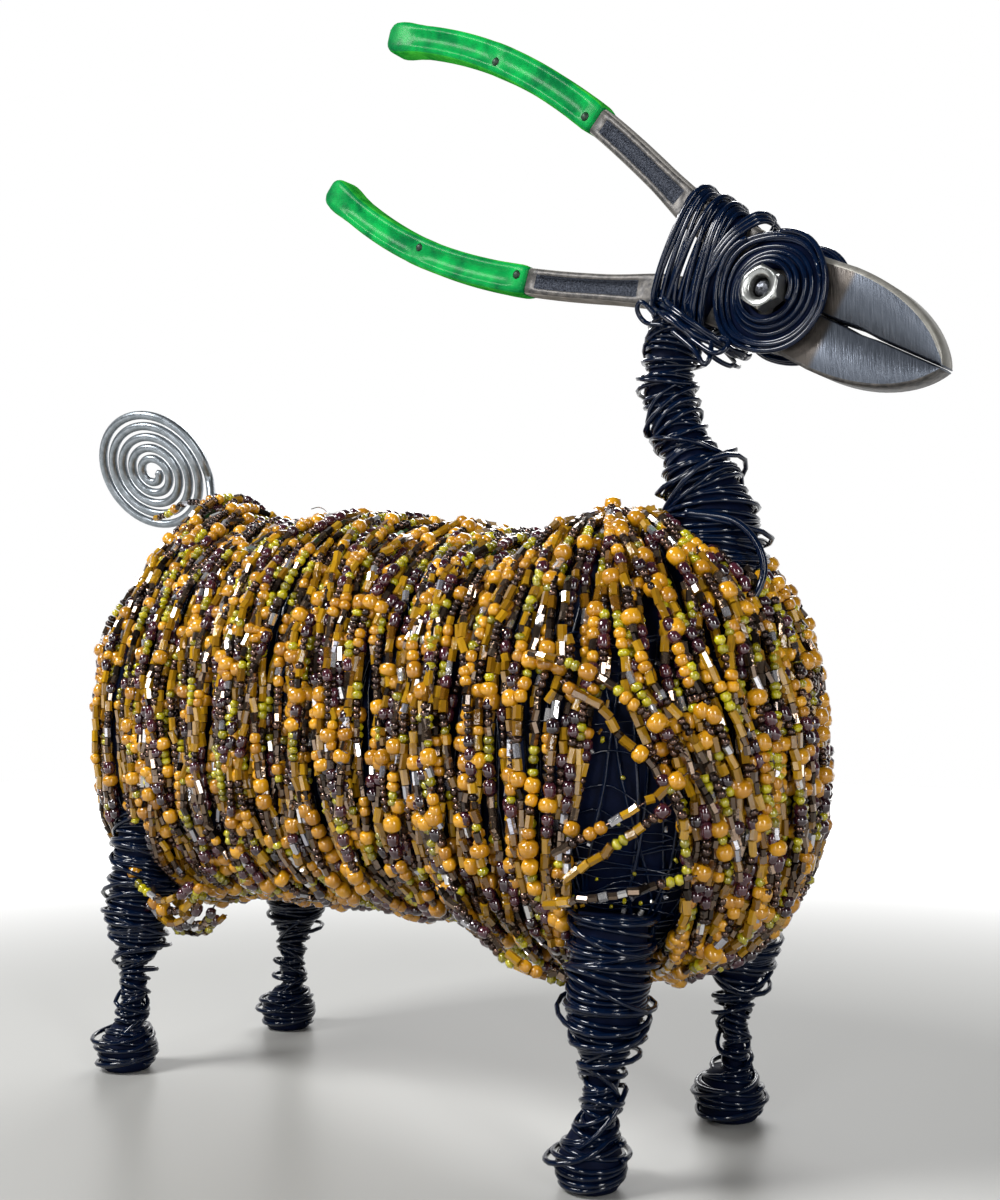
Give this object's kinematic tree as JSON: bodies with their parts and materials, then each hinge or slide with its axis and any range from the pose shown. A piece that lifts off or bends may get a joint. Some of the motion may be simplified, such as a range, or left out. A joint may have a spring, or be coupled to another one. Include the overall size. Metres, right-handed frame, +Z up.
{
  "type": "goat sculpture of pliers, wire and beads",
  "caption": "Standing goat ornament: pliers as head and horns, black wire neck, legs and trunk, a fleece of bead strands, a spiral wire tail.",
  "frame": {"origin": "on the ground, in the middle of the whole goat's box", "axes": "+Z up, +X towards the head, +Y towards the goat's left side"},
  "size_m": [0.254, 0.0802, 0.2674],
  "materials": {
    "tool_steel": "dark forged steel, ground jaws",
    "green_vinyl": "translucent dipped green vinyl",
    "zinc": "bright zinc plating",
    "black_wire": "glossy black binding wire",
    "beads": "glossy mixed seed beads, mustard, amber, bronze and aubergine",
    "bright_wire": "satin grey wire"
  },
  "bodies": {
    "root": {"pliers_lever_upper": "tool_steel", "pliers_lever_lower": "tool_steel", "grip_upper": "green_vinyl", "grip_lower": "green_vinyl", "pivot_stud": "zinc", "eye_nut_right": "zinc", "eye_nut_left": "zinc", "eye_coil_right": "black_wire", "eye_coil_left": "black_wire", "head_lashing": "black_wire", "neck_winding": "black_wire", "trunk_winding": "black_wire", "leg_front_right": "black_wire", "leg_front_left": "black_wire", "leg_rear_right": "black_wire", "leg_rear_left": "black_wire", "bead_fleece": "beads", "loose_strand_1": "beads", "loose_strand_2": "beads", "loose_strand_3": "beads", "tail_spiral": "bright_wire"}
  },
  "joints": []
}
